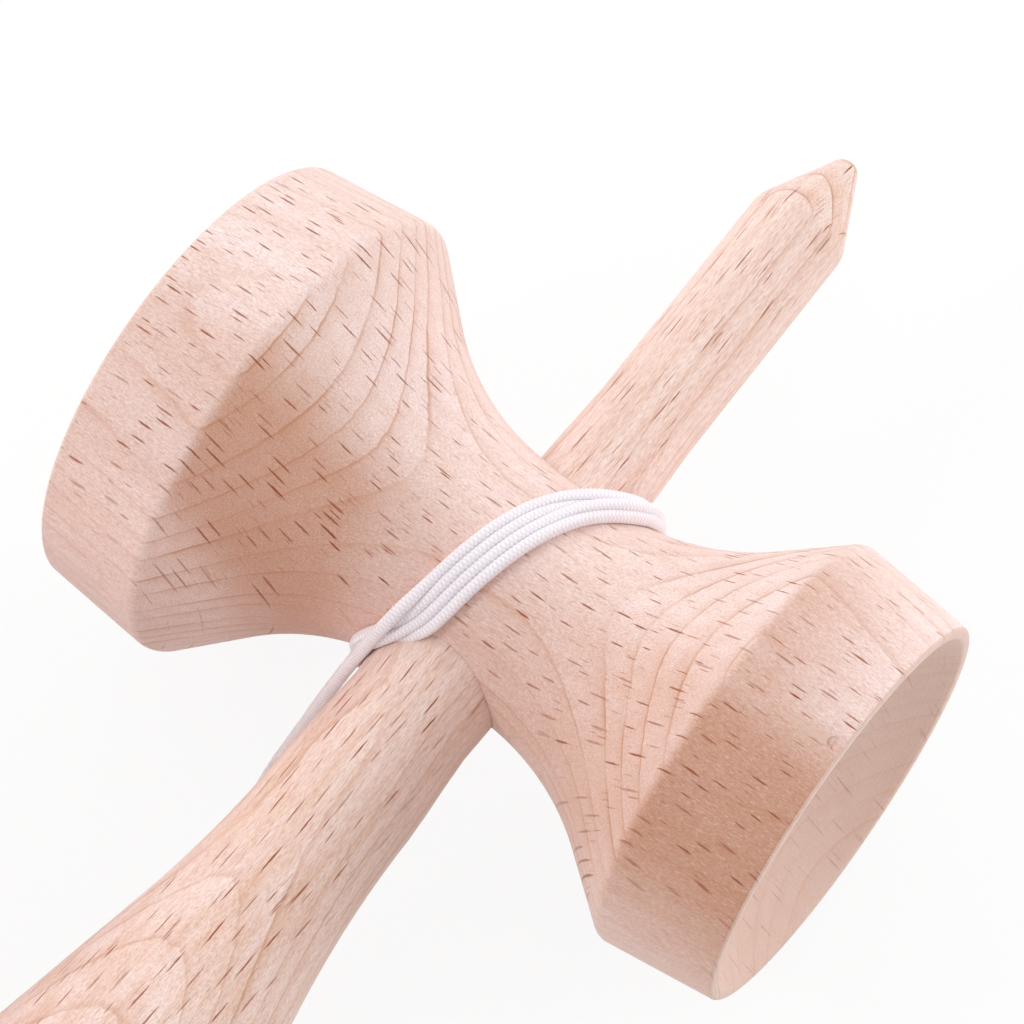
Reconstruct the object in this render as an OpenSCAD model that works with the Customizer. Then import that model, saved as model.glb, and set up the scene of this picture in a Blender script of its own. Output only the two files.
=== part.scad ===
// Cup and ball toy of turned beech, lying on a table with its string wound on.
// Millimetres. The row's +Y is the way the spike points, +X the way the small cup
// faces, +Z up, and the table is z = 0.

/* [Cross-piece] */
// length of the cross-piece from rim to rim
cross_length = 70; // [68:0.5:72]
// diameter over the ridge of the big cup
big_ridge_d = 45; // [44:0.5:46]
// diameter of the big cup's rim
big_rim_d = 43; // [42.4:0.2:43.6]
// diameter over the ridge of the small cup
small_ridge_d = 40.5; // [39.5:0.5:41.5]
// diameter of the small cup's rim
small_rim_d = 38; // [37.2:0.2:38.8]
// length of each conical collar from ridge to rim
collar_length = 11; // [10.2:0.2:11.8]
// diameter of the waist that the string is wound on
waist_d = 21.6; // [21.2:0.2:22.2]
// radius of the hollow between waist and flank
flank_r = 23; // [21.5:0.5:24]
// slope of the flank behind the big cup, in degrees from the axis
big_flank_angle = 43; // [42:1:45]
// slope of the flank behind the small cup, in degrees from the axis
small_flank_angle = 38; // [37:1:40]
// depth of the big cup
big_cup_depth = 9; // [8:0.5:10]
// depth of the small cup
small_cup_depth = 8.4; // [7.6:0.4:9.2]
// width of a cup's lip from its outside to the hollow
lip_width = 2; // [1.8:0.1:2.4]
// rounding on the outside of each lip
lip_round = 1.2; // [0.8:0.1:1.4]

/* [Ken] */
// diameter of the spike
spike_d = 9.5; // [9.2:0.1:9.8]
// distance from the crossing of the axes to the spike's tip
spike_reach = 51; // [49:0.5:54]
// length of the taper that stands out of the waist on the spike's side
spike_root = 9; // [8:0.5:11]
// length of the spike's conical point
point_length = 8; // [7:0.5:9]
// diameter of the blunt end of the point
point_end_d = 2.6; // [2.2:0.2:3]
// diameter of the handle where it enters the cross-piece
neck_d = 12.2; // [11.8:0.1:12.6]
// diameter of the handle where its flare starts
grip_d = 13; // [12.8:0.1:13.6]
// distance from the crossing to the start of the flare
flare_start = 23; // [21:0.5:25]
// length over which the handle bends out into its flare
flare_bend = 18; // [14:1:20]
// distance from the crossing to the ridge of the base cup
base_ridge_reach = 88; // [86:0.5:90]
// diameter over the ridge of the base cup
base_ridge_d = 34.8; // [34:0.2:35.6]
// diameter of the base cup's rim
base_rim_d = 32.4; // [31.6:0.2:33]
// length of the base cup's collar from ridge to rim
base_collar = 9.6; // [9:0.2:10.4]
// depth of the base cup
base_cup_depth = 6.8; // [6:0.4:7.6]
// radial clearance of the tapered seat in the cross-piece
seat_clear = 0.05; // [0.03:0.01:0.08]

/* [Ball] */
// diameter of the ball
ball_d = 60; // [58:1:61]
// diameter of the hole that takes the spike
spike_hole_d = 18; // [16:1:20]
// depth of the spike hole from its mouth
spike_hole_depth = 46; // [45:0.5:47]
// width of the bevel at the mouth of the spike hole
mouth_bevel = 1.5; // [1:0.25:2]
// diameter of the string hole at the other pole
string_hole_d = 3; // [2.6:0.2:3.6]
// sideways place of the ball, from the axis of the ken
ball_x = -50; // [-53:1:-49]
// lengthwise place of the ball, from the crossing
ball_y = -66; // [-68:1:-64]

/* [String] */
// diameter of the braided string
string_d = 1.25; // [1.15:0.05:1.3]
// gap kept between neighbouring turns
turn_gap = 0.47; // [0.46:0.01:0.52]
// gap between the turns and the waist
lay_gap = 0.15; // [0.1:0.05:0.3]
// diameter of the stopper knots
knot_d = 3.4; // [3:0.1:3.6]
// diameter of the bead inside the ball
bead_d = 8; // [7:0.5:9]

/* [Hidden] */
$fn = 48;
WOOD = [0.86, 0.72, 0.56];
CORD = [0.95, 0.95, 0.97];
half = cross_length/2;
ridge_x = half - collar_length;
waist_r = waist_d/2;
spike_r = spike_d/2;
neck_r = neck_d/2;
grip_r = grip_d/2;
base_ridge_r = base_ridge_d/2;
base_reach = base_ridge_reach + base_collar;
ball_r = ball_d/2;
cord_r = string_d/2;
knot_r = knot_d/2;
hole_r = spike_hole_d/2;

// Lying pose: both ridges of the cross-piece and the base ridge touch the table.
roll = atan((small_ridge_d - big_ridge_d)/2/(2*ridge_x));
nx = sin(roll);
lift = ridge_x*nx + big_ridge_d/2*cos(roll);
pitch = asin(lift/norm([base_ridge_reach, base_ridge_r]))
        - atan(base_ridge_r/base_ridge_reach);
ny = sin(pitch);
nz = sqrt(1 - nx*nx - ny*ny);
yaw_roll = atan(-nx/nz);

// Origin: the middle of the floor of the box around ken, cross-piece and ball.
x_high = half*cos(yaw_roll) + (small_rim_d/2 - lip_round)*sin(yaw_roll);
x_low = ball_x - ball_r;
y_high = spike_reach*cos(pitch);
y_low = -base_reach*cos(pitch) - (base_rim_d/2 - lip_round)*sin(pitch);
centre = [(x_high + x_low)/2, (y_high + min(y_low, ball_y - ball_r))/2, 0];

function turned(p) = [
  p.x*cos(yaw_roll) + p.z*sin(yaw_roll),
  p.y*cos(pitch) - (p.z*cos(yaw_roll) - p.x*sin(yaw_roll))*sin(pitch),
  p.y*sin(pitch) + (p.z*cos(yaw_roll) - p.x*sin(yaw_roll))*cos(pitch)];
function placed(p) = turned(p) + [0, 0, lift] - centre;

module place() {
  translate([0, 0, lift] - centre)
    rotate([pitch, 0, 0])
      rotate([0, yaw_roll, 0])
        children();
}

// Outline of the waist and its two flanks.
function flank_top(angle) = waist_r + flank_r*(1 - cos(angle));
function flank_end(ridge_r, angle) = ridge_x - (ridge_r - flank_top(angle))/tan(angle);
function flank_from(ridge_r, angle) = flank_end(ridge_r, angle) - flank_r*sin(angle);
function flank_arc(ridge_r, angle) = [for (i = [0:8])
  let (a = angle*i/8)
  [waist_r + flank_r*(1 - cos(a)), flank_from(ridge_r, angle) + flank_r*sin(a)]];
function waist_at(d, from) = d <= from ? waist_r
  : waist_r + flank_r - sqrt(flank_r*flank_r - (d - from)*(d - from));
function waist_out(x) = x < 0
  ? waist_at(-x, flank_from(big_ridge_d/2, big_flank_angle))
  : waist_at(x, flank_from(small_ridge_d/2, small_flank_angle));

// Outline of one cup from its ridge over the lip to the bottom of the hollow.
function lip_arc(rim_r, end) = [for (i = [0:4])
  let (a = 90*i/4)
  [rim_r - lip_round + lip_round*cos(a), end - lip_round + lip_round*sin(a)]];
function dish_arc(rim_r, end, depth) =
  let (r_in = rim_r - lip_width, ball = (r_in*r_in + depth*depth)/(2*depth),
       span = asin(r_in/ball))
  [for (i = [0:8]) let (a = span*(1 - i/8)) [ball*sin(a), end - depth + ball*(1 - cos(a))]];
function cup(ridge_r, rim_r, ridge, end, depth) = concat(
  [[ridge_r, ridge]], lip_arc(rim_r, end), dish_arc(rim_r, end, depth));
function mirrored(points) = [for (i = [len(points) - 1:-1:0]) [points[i].x, -points[i].y]];

cross_outline = concat(
  mirrored(concat(flank_arc(big_ridge_d/2, big_flank_angle),
    cup(big_ridge_d/2, big_rim_d/2, ridge_x, half, big_cup_depth))),
  flank_arc(small_ridge_d/2, small_flank_angle),
  cup(small_ridge_d/2, small_rim_d/2, ridge_x, half, small_cup_depth));

// Tapered seat of the ken: neck below the waist, spike above it.
seat_slope = (neck_r - spike_r)/(waist_d + spike_root);

// Flare of the handle: a parabola that runs into a straight cone up to the base ridge.
flare_slope = (base_ridge_r - grip_r)
              /(base_ridge_reach - flare_start - flare_bend/2);
function flare_at(t) = grip_r + flare_slope*t*t/(2*flare_bend);
flare_points = [for (i = [6:-1:0])
  let (t = flare_bend*i/6) [flare_at(t), -flare_start - t]];
point_points = [for (i = [0:4])
  let (a = 20 + 70*i/4)
  [point_end_d/2*cos(a)/cos(20), spike_reach - point_end_d/2*(1 - sin(a))]];
ken_outline = concat(
  mirrored(cup(base_ridge_r, base_rim_d/2, base_ridge_reach, base_reach, base_cup_depth)),
  flare_points,
  [[neck_r, -waist_r], [spike_r, waist_r + spike_root], [spike_r, spike_reach - point_length]],
  point_points);

// Anchor of the string: a hole through the underside of the waist into a pocket
// beside the seat, where the stopper knot is caught.
anchor_x = 2.8;
anchor_reach = 7.6;
anchor_z = -sqrt(anchor_reach*anchor_reach - anchor_x*anchor_x);
pocket_r = 1.12*knot_r + 0.25;
pocket_end = 2.4;
anchor_hole_r = 1.3;

// Winding: an angle runs round the waist, 0 at the spike, 90 on top, 180 at the handle.
// The turns lie side by side on top and below. Beside spike and handle the first and the
// last turn climb onto their neighbours, so the string passes there two by two.
turn_pitch = string_d + turn_gap;
first_angle = -66;
last_angle = 1254;
swing_out = 7.5;
side_step = -0.2;
function smooth(t) = t <= 0 ? 0 : t >= 1 ? 1 : t*t*(3 - 2*t);
function course(a) = swing_out*(0.52*cos(a) + 0.48*pow(cos(a), 5)) + side_step;
function course_slope(a) = swing_out*sin(a)*(0.52 + 2.4*pow(cos(a), 4))/(waist_r + 0.8);
function step_at(a) = turn_pitch*sqrt(1 + course_slope(a)*course_slope(a));
function lane(a) = 1.5 - (a - 90)/360;
function lane_r(x) = waist_out(x) + lay_gap + cord_r;
function outer(a) = a < 270 ? 1 : a > 990 ? -1 : 0;
function climb(a) = abs(outer(a))*90*smooth((abs(cos(a)) - 0.55)/0.38);
function beside_x(a) = course(a) + (lane(a) - outer(a))*step_at(a);
function turn_x(a) = beside_x(a) + outer(a)*step_at(a)*cos(climb(a));
function turn_r(a) = lane_r(turn_x(a))*pow(cos(climb(a)), 2)
  + lane_r(beside_x(a))*pow(sin(climb(a)), 2) + 1.04*turn_pitch*sin(climb(a));
function turn_point(a) = [turn_x(a), turn_r(a)*cos(a), turn_r(a)*sin(a)];

start_points = [[anchor_x, 0, anchor_z - knot_r], [anchor_x, 0, anchor_z - knot_r - 1.2],
                [anchor_x, 0.1, -waist_r], [2.9, 0.5, -waist_r - 0.4],
                [3.1, 1.4, -waist_r - 0.8], [3.5, 2.8, -waist_r - 0.6]];
exit_points = [[-9.4, -15.1, -1.8], [-9.9, -16.4, -5.2], [-10.4, -17.7, -8.7], [-10.9, -19, -12]];

// Where the string comes down on the table and turns along it.
foot = [-11.9, -20.3, 0];
drop_points = [[foot.x + 0.06, foot.y + 0.35, 7.5], [foot.x, foot.y, 6.2], [foot.x, foot.y, 5]];
function on_floor(p) = p - centre;
wind_angles = [for (a = [first_angle:15:last_angle]) a];
wind_points = concat([for (p = start_points) placed(p)],
  [for (a = wind_angles) placed(turn_point(a))],
  [for (p = exit_points) placed(p)],
  [for (p = drop_points) on_floor(p)]);

// Free string: from the foot of the drop along the handle, round past the base and
// up into the string hole of the ball.
lay_z = cord_r + 0.05;
mouth_y = ball_y - ball_r;
bore_end_y = ball_y + sqrt(ball_r*ball_r - hole_r*hole_r) - spike_hole_depth;
bead_y = bore_end_y + bead_d/2 + 0.4;
knot_y = bead_y + bead_d/2 + 0.3;
free_route = [
  [foot.x, foot.y, 5], [foot.x, foot.y, 3.6], [foot.x, foot.y - 0.6, 2.2],
  [foot.x, foot.y - 2, 1.1], [foot.x, foot.y - 4.4, lay_z], [-11.8, -31, lay_z],
  [-11.8, -38, lay_z], [-12, -46, lay_z], [-12.6, -54, lay_z], [-13.5, -62, lay_z],
  [-15, -70, lay_z], [-16, -78, lay_z], [-17, -86, lay_z], [-19, -94, lay_z],
  [-22, -102, lay_z], [-26, -109, lay_z], [-31.5, -114.5, lay_z], [-38, -118, lay_z],
  [ball_x + 6, -119.5, lay_z], [ball_x + 2.4, mouth_y - 23, 2.4], [ball_x + 0.8, mouth_y - 21, 7],
  [ball_x + 0.2, mouth_y - 18.5, ball_r*0.5], [ball_x, mouth_y - 15, ball_r*0.76],
  [ball_x, mouth_y - 10, ball_r*0.94], [ball_x, mouth_y - 4, ball_r],
  [ball_x, mouth_y + 2, ball_r], [ball_x, (mouth_y + bore_end_y)/2, ball_r],
  [ball_x, bead_y - 2, ball_r], [ball_x, knot_y - 2, ball_r], [ball_x, knot_y, ball_r]];

// Points on a smooth curve through the route.
function curve_at(a, b, c, d, t) = 0.5*(2*b + (c - a)*t + (2*a - 5*b + 4*c - d)*t*t
  + (3*b - a - 3*c + d)*t*t*t);
function curved(route, n) = let (k = len(route))
  concat([for (i = [0:k - 2], j = [0:n - 1])
    i == 0 || i == k - 2 ? route[i] + (route[i + 1] - route[i])*j/n
    : curve_at(route[i - 1], route[i], route[i + 1], route[i + 2], j/n)], [route[k - 1]]);
free_points = [for (p = curved(free_route, 2)) on_floor(p)];

// Tube along points, with a ring at each that is carried on without twist.
function unit(v) = v/norm(v);
function way(p, i) = unit(p[min(i + 1, len(p) - 1)] - p[max(i - 1, 0)]);
function squared(v, t) = unit(v - (v*t)*t);
function carried(p, first) = [for (i = 0, v = squared(first, way(p, 0)); i < len(p);
  i = i + 1, v = i < len(p) ? squared(v, way(p, i)) : v) v];
function tube_points(p, r, n, first) = let (side = carried(p, first))
  [for (i = [0:len(p) - 1], j = [0:n - 1])
    p[i] + r*cos(360*j/n)*side[i] + r*sin(360*j/n)*cross(way(p, i), side[i])];
function tube_faces(k, n) = concat(
  [[for (j = [n - 1:-1:0]) j]],
  [for (i = [0:k - 2], j = [0:n - 1]) [i*n + j, i*n + (j + 1)%n, (i + 1)*n + (j + 1)%n]],
  [for (i = [0:k - 2], j = [0:n - 1]) [i*n + j, (i + 1)*n + (j + 1)%n, (i + 1)*n + j]],
  [[for (j = [0:n - 1]) (k - 1)*n + j]]);
module tube(p, r, n, first) {
  polyhedron(points = tube_points(p, r, n, first), faces = [for (f = tube_faces(len(p), n))
    [for (i = [len(f) - 1:-1:0]) f[i]]], convexity = 10);
}
function run_length(p) = let (s = [for (i = [1:len(p) - 1]) norm(p[i] - p[i - 1])])
  s*[for (v = s) 1];

// Least gap of the winding to itself, on points five degrees apart.
gap_points = concat([for (a = [first_angle:5:last_angle]) turn_point(a)], exit_points);
gap_least = min([for (i = [0:len(gap_points) - 1])
  min(concat([99], [for (j = [i + 12:1:len(gap_points) - 1])
    norm(gap_points[i] - gap_points[j])]))]) - string_d;
echo("least gap of the winding", gap_least);
echo("winding length", run_length(wind_points), "free length", run_length(free_points));
echo("rings", len(wind_points), len(free_points));
echo("lift", lift, "pitch", pitch, "roll", yaw_roll, "centre", centre);
echo("foot", on_floor(foot), "ball", on_floor([ball_x, ball_y, ball_r]));

// Turned stick: spike, tapered seat, handle and base cup in one piece of wood.
module ken() {
  color(WOOD)
    place()
      rotate([-90, 0, 0])
        rotate_extrude()
          polygon(ken_outline);
}

// Turned cross-piece: big cup, waist and small cup, bored for the ken.
module cross_piece() {
  color(WOOD)
    place()
      difference() {
        rotate([0, 90, 0])
          rotate_extrude()
            polygon(cross_outline);
        translate([0, -waist_d, 0])
          rotate([-90, 0, 0])
            cylinder(h = 2*waist_d,
                     r1 = neck_r + seat_slope*waist_r + seat_clear,
                     r2 = neck_r - 3*seat_slope*waist_r + seat_clear);
        rotate([-90, 0, 0])
          cylinder(h = 2*waist_d, r = spike_r + seat_clear);
        translate([anchor_x, -waist_d, anchor_z])
          rotate([-90, 0, 0])
            cylinder(h = waist_d + pocket_end, r = pocket_r);
        translate([anchor_x, 0, -2*waist_r])
          cylinder(h = 2*waist_r + anchor_z, r = anchor_hole_r);
      }
}

// Ball with its spike hole, the bevelled mouth and the string hole.
module ball() {
  color(WOOD)
    translate(on_floor([ball_x, ball_y, ball_r]))
      rotate([-90, 0, 0])
        difference() {
          sphere(r = ball_r);
          translate([0, 0, bore_end_y - ball_y])
            cylinder(h = 2*ball_r, r = hole_r);
          translate([0, 0, sqrt(ball_r*ball_r - hole_r*hole_r) - mouth_bevel])
            cylinder(h = 4*mouth_bevel, r1 = hole_r, r2 = hole_r + 4*mouth_bevel);
          translate([0, 0, -2*ball_r])
            cylinder(h = 2*ball_r, r = string_hole_d/2);
        }
}

// Bead that keeps the string from slipping out of the ball.
module bead() {
  color(WOOD)
    translate(on_floor([ball_x, bead_y, ball_r]))
      rotate([-90, 0, 0])
        difference() {
          sphere(r = bead_d/2);
          cylinder(h = 2*bead_d, r = cord_r + 0.3, center = true);
        }
}

// Turns of string on the waist, with the lead from the anchor and the drop to the table.
module string_winding() {
  color(CORD)
    tube(wind_points, cord_r, 6, [1, 0, 0]);
}

// Free string on the table, up into the ball.
module string_free() {
  color(CORD)
    tube(free_points, cord_r, 8, [1, 0, 0]);
}

// Stopper knot in the pocket of the cross-piece.
module anchor_knot() {
  color(CORD)
    place()
      translate([anchor_x, 0, anchor_z])
        stopper();
}

// Stopper knot behind the bead.
module bead_knot() {
  color(CORD)
    translate(on_floor([ball_x, knot_y + knot_r, ball_r]))
      rotate([90, 0, 0])
        stopper();
}

// Knot drawn as two tight round wraps, flat where the string comes out below.
module stopper() {
  rotate_extrude()
    polygon(concat([[0, -knot_r]],
      [for (i = [0:5]) let (a = -70 + 28*i)
        [knot_r*0.55 + knot_r*0.45*cos(a), -knot_r*0.5 + knot_r*0.5*sin(a)]],
      [for (i = [0:5]) let (a = -70 + 28*i)
        [knot_r*0.5 + knot_r*0.42*cos(a), knot_r*0.42 + knot_r*0.45*sin(a)]],
      [[0, knot_r*0.87]]));
}

ken();
cross_piece();
ball();
bead();
string_winding();
string_free();
anchor_knot();
bead_knot();
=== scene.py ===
"""Looks of a cup and ball toy: turned beech, a braided white string and a plain studio.

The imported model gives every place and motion. The classes here make the finer turned
pieces, the braided string with its knots, the finishes, the light and the camera.
Sizes are in millimetres in the toy's own axes: the crossing of the two pieces is the
origin, X runs along the cross-piece to the small cup and Y along the stick to the point.
"""

import logging
from dataclasses import dataclass, field
from enum import Enum
from functools import reduce
from math import asin, cos, hypot, pi, radians, sin, sqrt, tan
from typing import Callable, Mapping, Optional, Sequence, Union

import bmesh
import bpy
from mathutils import Matrix, Vector, noise

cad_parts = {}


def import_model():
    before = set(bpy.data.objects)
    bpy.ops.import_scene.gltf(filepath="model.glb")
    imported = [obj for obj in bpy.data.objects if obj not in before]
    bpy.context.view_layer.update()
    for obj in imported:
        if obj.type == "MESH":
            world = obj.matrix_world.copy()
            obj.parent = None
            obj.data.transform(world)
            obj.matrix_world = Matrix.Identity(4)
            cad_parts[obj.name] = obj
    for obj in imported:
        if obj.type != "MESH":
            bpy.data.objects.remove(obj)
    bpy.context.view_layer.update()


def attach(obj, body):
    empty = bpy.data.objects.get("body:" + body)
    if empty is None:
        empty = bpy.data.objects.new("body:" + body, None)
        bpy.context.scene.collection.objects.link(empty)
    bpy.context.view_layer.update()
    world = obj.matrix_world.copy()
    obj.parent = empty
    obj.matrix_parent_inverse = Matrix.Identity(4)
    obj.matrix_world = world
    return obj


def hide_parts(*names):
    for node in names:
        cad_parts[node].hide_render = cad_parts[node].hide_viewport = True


LOG = logging.getLogger("cup_and_ball")
MM = 0.001
PER_METRE = (1000, 1000, 1000)
QUARTER = Matrix.Rotation(radians(90), 4, "Z")
Piece = bpy.types.Object
Shape = bmesh.types.BMesh
Socket = bpy.types.NodeSocket
Feed = Union[Socket, float, int, Sequence[float]]
Values = Mapping[Union[str, int], Feed]
Triple = tuple[float, float, float]
Tint = Triple
Outline = list[tuple[float, float]]


class Body(str, Enum):
    """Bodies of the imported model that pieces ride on."""

    STICK = "ken"
    CROSS = "cross_piece"
    TETHER = "tether"
    BALL = "ball"


class Grain(Enum):
    """Turn about the upright axis that brings the run of the grain onto X."""

    ALONG_CROSS = 0.0
    ALONG_STICK = -90.0


def from_srgb(red: int, green: int, blue: int) -> Tint:
    """Turns a colour as seen on a screen into the linear colour of a shader."""
    return tuple(c / 12.92 if c <= 0.04045 else ((c + 0.055) / 1.055) ** 2.4
                 for c in (red / 255, green / 255, blue / 255))


def eased(t: float) -> float:
    """Runs smoothly from 0 to 1 as t does."""
    t = min(max(t, 0.0), 1.0)
    return t * t * (3.0 - 2.0 * t)


def spaced(start: float, span: float, parts: int) -> list[float]:
    """Gives even steps over a span, with both ends among them."""
    return [start + span * i / parts for i in range(parts + 1)]


def between(first: tuple[float, float], last: tuple[float, float], parts: int) -> Outline:
    """Gives the points that part a straight stretch of an outline, without its ends."""
    return [(first[0] + (last[0] - first[0]) * i / parts, first[1] + (last[1] - first[1]) * i / parts)
            for i in range(1, parts)]


@dataclass(frozen=True)
class Lay:
    """How the toy lies: tipped onto its two cups and its base, and moved over the floor."""

    lift: float = 21.3516
    pitch: float = 2.58522
    roll: float = 2.68651
    centre: tuple[float, float] = (-22.1021, -23.6146)

    def turn(self) -> Matrix:
        """Gives the tip of the toy on the floor."""
        return Matrix.Rotation(radians(self.pitch), 4, "X") @ Matrix.Rotation(radians(self.roll), 4, "Y")

    def matrix(self) -> Matrix:
        """Gives the change from toy millimetres to metres on the floor."""
        shift = Vector((-self.centre[0], -self.centre[1], self.lift)) * MM
        return Matrix.Translation(shift) @ self.turn() @ Matrix.Scale(MM, 4)

    def placed(self, point: Sequence[float]) -> Vector:
        """Gives a toy point in metres on the floor."""
        return self.matrix() @ Vector(point)

    def on_floor(self, point: Sequence[float]) -> Vector:
        """Gives a floor point in millimetres as metres, with the row's centre as origin."""
        return Vector((point[0] - self.centre[0], point[1] - self.centre[1], point[2])) * MM

    @staticmethod
    def level(middle: Vector) -> Matrix:
        """Gives the place of a piece whose axis lies level, along the floor's Y."""
        return Matrix.Translation(middle) @ QUARTER @ Matrix.Scale(MM, 4)


LAY = Lay()


class Lathe:
    """Turns outlines into meshes, softens their edges and cuts holes, as a turner would."""

    @staticmethod
    def turned(outline: Outline, steps: int, closed: bool = False) -> Shape:
        """Spins an outline round the X axis.

        Args:
            outline: Pairs of place along the axis and radius, in millimetres.
            steps: Number of faces round the piece.
            closed: Whether the outline runs back to its first point.

        Returns:
            The turned shape with merged seam and faces outwards.
        """
        bm = bmesh.new()
        verts = [bm.verts.new((along, radius, 0.0)) for along, radius in outline]
        edges = [bm.edges.new(pair) for pair in zip(verts, verts[1:])]
        if closed:
            edges.append(bm.edges.new((verts[-1], verts[0])))
        bmesh.ops.spin(bm, geom=verts + edges, cent=(0, 0, 0), axis=(1, 0, 0), dvec=(0, 0, 0),
                       angle=2 * pi, steps=steps, use_merge=True, use_normal_flip=False,
                       use_duplicate=False)
        bmesh.ops.remove_doubles(bm, verts=bm.verts, dist=1e-4)
        bmesh.ops.recalc_face_normals(bm, faces=bm.faces)
        return bm

    @staticmethod
    def plug(sides: Outline, steps: int) -> Shape:
        """Turns a plug with flat ends, to cut a hole with."""
        return Lathe.turned([(sides[0][0], 0.0), *sides, (sides[-1][0], 0.0)], steps)

    @staticmethod
    def soften(bm: Shape, width: float, where: Callable[[Vector], bool], sharp: float = 9.0) -> None:
        """Rounds the sharp rings of a turned shape.

        Args:
            bm: The shape.
            width: How far the round reaches from the edge, in millimetres.
            where: Says of an edge's middle whether it is among those to round.
            sharp: Least angle of an edge that counts as sharp, in degrees.
        """
        rings = [edge for edge in bm.edges
                 if len(edge.link_faces) == 2 and edge.calc_face_angle() > radians(sharp)
                 and where((edge.verts[0].co + edge.verts[1].co) / 2)]
        if rings:
            bmesh.ops.bevel(bm, geom=rings, offset=width, offset_type="OFFSET", affect="EDGES",
                            segments=4, profile=0.5, material=-1, clamp_overlap=True)

    @staticmethod
    def finished(bm: Shape, name: str, place: Matrix) -> Piece:
        """Makes a piece of a shape, with its place in its mesh.

        Args:
            bm: The shape in millimetres, used up by this.
            name: Name of the piece.
            place: Change from the shape's axes to metres on the floor.

        Returns:
            The piece.
        """
        bmesh.ops.transform(bm, matrix=place, verts=bm.verts)
        mesh = bpy.data.meshes.new(name)
        bm.to_mesh(mesh)
        bm.free()
        piece = bpy.data.objects.new(name, mesh)
        bpy.context.scene.collection.objects.link(piece)
        return piece

    @staticmethod
    def cut(piece: Piece, cutters: Sequence[Piece], least: float = 1e-7) -> None:
        """Takes the cutters' shapes out of a piece and throws the cutters away.

        Args:
            piece: The piece.
            cutters: The shapes to take out.
            least: Length in metres below which an edge is closed up afterwards.
        """
        for cutter in cutters:
            step = piece.modifiers.new("cut", "BOOLEAN")
            step.object, step.operation, step.solver = cutter, "DIFFERENCE", "EXACT"
        bpy.context.view_layer.update()
        seen = piece.evaluated_get(bpy.context.evaluated_depsgraph_get())
        rough, clean = piece.data, bpy.data.meshes.new_from_object(seen)
        bm = bmesh.new()
        bm.from_mesh(clean)
        bmesh.ops.remove_doubles(bm, verts=bm.verts, dist=least)
        bmesh.ops.dissolve_degenerate(bm, dist=least, edges=bm.edges)
        bm.to_mesh(clean)
        bm.free()
        piece.modifiers.clear()
        piece.data = clean
        clean.name = piece.name
        bpy.data.meshes.remove(rough)
        for cutter in cutters:
            mesh = cutter.data
            bpy.data.objects.remove(cutter)
            bpy.data.meshes.remove(mesh)

    @staticmethod
    def smooth(piece: Piece, sharp: float = 34.0) -> None:
        """Shades a piece smoothly, with crisp edges past an angle in degrees."""
        piece.data.shade_smooth()
        piece.data.set_sharp_from_angle(angle=radians(sharp))

    @staticmethod
    def mark_faces(piece: Piece, middle: Vector, along: Vector, across: Vector, hollows: bool) -> None:
        """Stores on each vertex how squarely it faces along and across the grain.

        Args:
            piece: The finished piece.
            middle: Point from which faces that look away along the grain count as hollows.
            along: Run of the grain.
            across: Direction along the growth rings, square to the grain.
            hollows: Whether the piece has hollows; without, every end face counts as plain.
        """
        mesh = piece.data
        end = [v.normal.dot(along) * (1.0 if (v.co - middle).dot(along) > 0 else -1.0)
               for v in mesh.vertices]
        if not hollows:
            end = [-abs(value) for value in end]
        side = [abs(v.normal.dot(across)) for v in mesh.vertices]
        for name, values in (("end_face", end), ("side_face", side)):
            mesh.attributes.new(name, "FLOAT", "POINT").data.foreach_set("value", values)


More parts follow.
